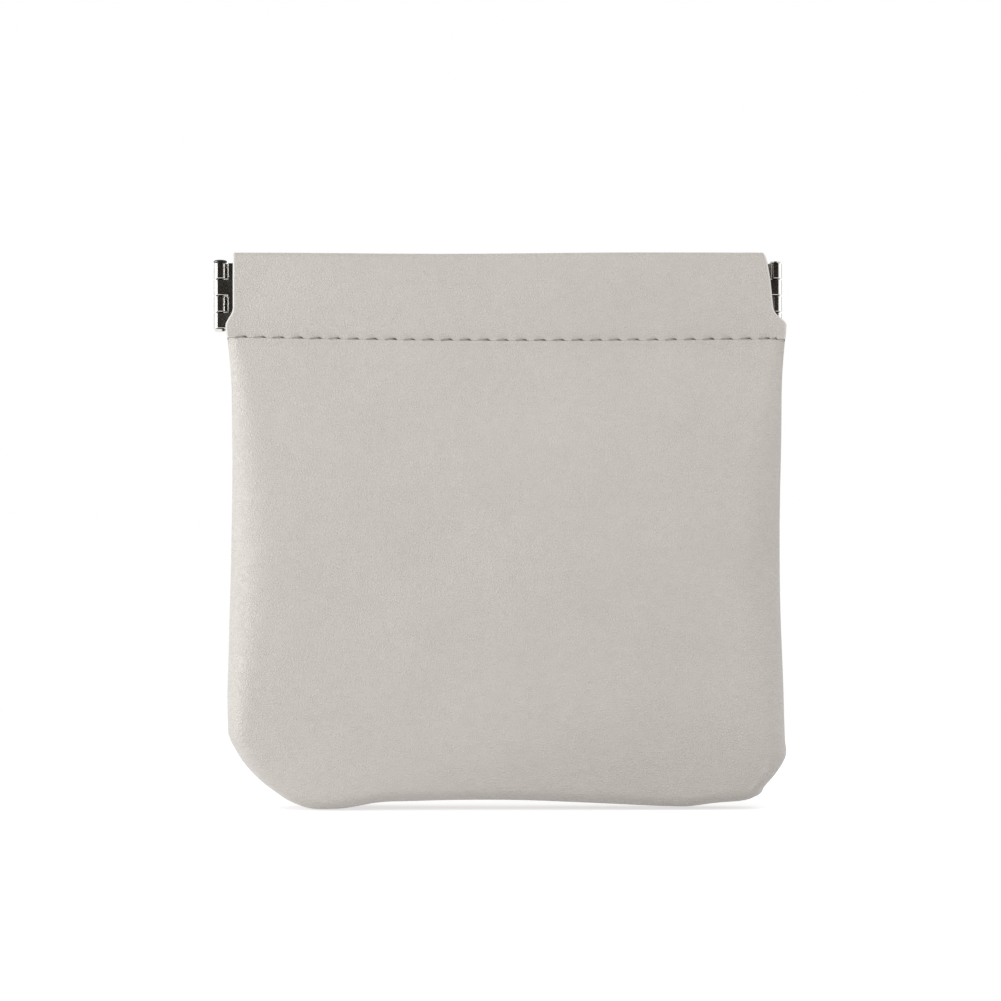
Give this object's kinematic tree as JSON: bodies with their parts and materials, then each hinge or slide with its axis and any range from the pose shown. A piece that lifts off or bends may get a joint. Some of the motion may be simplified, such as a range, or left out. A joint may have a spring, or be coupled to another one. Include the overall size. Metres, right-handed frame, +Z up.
{
  "type": "squeeze pouch",
  "caption": "Flat leather pouch with boxed corners whose sprung mouth pops open when its hinged ends are squeezed together.",
  "frame": {"origin": "on the ground below the middle of the pouch's width and thickness", "axes": "+Z up to the mouth, +X along the mouth from left to right, -Y to the front"},
  "size_m": [0.1148, 0.019, 0.1108],
  "materials": {
    "leather": "smooth matt greige leather with a fine grain",
    "spring_steel": "rolled spring strip",
    "hinge_plate": "nickel plate"
  },
  "bodies": {
    "bag": {"base": "leather"},
    "front_wall": {"front_wall": "leather"},
    "back_wall": {"back_wall": "leather"},
    "left_end": {"left_pin": "hinge_plate"},
    "front_left": {"front_left_casing": "leather", "front_left_strip": "spring_steel", "front_left_leaf": "hinge_plate", "front_left_lower_rivet": "hinge_plate", "front_left_upper_rivet": "hinge_plate"},
    "back_left": {"back_left_casing": "leather", "back_left_strip": "spring_steel", "back_left_leaf": "hinge_plate", "back_left_lower_rivet": "hinge_plate", "back_left_upper_rivet": "hinge_plate"},
    "front_right": {"front_right_casing": "leather", "front_right_strip": "spring_steel", "front_right_leaf": "hinge_plate", "front_right_lower_rivet": "hinge_plate", "front_right_upper_rivet": "hinge_plate", "right_pin": "hinge_plate"},
    "back_right": {"back_right_casing": "leather", "back_right_strip": "spring_steel", "back_right_leaf": "hinge_plate", "back_right_lower_rivet": "hinge_plate", "back_right_upper_rivet": "hinge_plate"}
  },
  "joints": [
    {"name": "end_slide", "type": "slide", "parent": "bag", "child": "left_end", "axis": [1, 0, 0], "range_m": [0, 0.00272]},
    {"name": "front_left_swing", "type": "hinge", "parent": "left_end", "child": "front_left", "pos_m": [-0.05608, 0, 0.10223], "axis": [0, 0, -1], "range_deg": [0, 18], "stiffness_Nm_per_rad": 0.3, "springref_deg": -5},
    {"name": "back_left_swing", "type": "hinge", "parent": "left_end", "child": "back_left", "pos_m": [-0.05608, 0, 0.10223], "axis": [0, 0, 1], "range_deg": [0, 18]},
    {"name": "front_flex", "type": "hinge", "parent": "front_left", "child": "front_right", "pos_m": [-0.00053, -0.00015, 0.10223], "axis": [0, 0, 1], "range_deg": [0, 36]},
    {"name": "back_flex", "type": "hinge", "parent": "back_left", "child": "back_right", "pos_m": [-0.00053, 0.00015, 0.10223], "axis": [0, 0, -1], "range_deg": [0, 36]},
    {"name": "front_wall_tilt", "type": "hinge", "parent": "bag", "child": "front_wall", "pos_m": [0, -0.00923, 0.005], "axis": [1, 0, 0], "range_deg": [0, 11.3]},
    {"name": "back_wall_tilt", "type": "hinge", "parent": "bag", "child": "back_wall", "pos_m": [0, 0.00923, 0.005], "axis": [-1, 0, 0], "range_deg": [0, 11.3]}
  ],
  "couplings": [
    {"joint": "end_slide", "follows": "front_left_swing", "m_per_rad": 0.008654},
    {"joint": "back_left_swing", "follows": "front_left_swing", "ratio": 1},
    {"joint": "front_flex", "follows": "front_left_swing", "ratio": 2},
    {"joint": "back_flex", "follows": "front_left_swing", "ratio": 2},
    {"joint": "front_wall_tilt", "follows": "front_left_swing", "ratio": 0.6271},
    {"joint": "back_wall_tilt", "follows": "front_left_swing", "ratio": 0.6271}
  ]
}
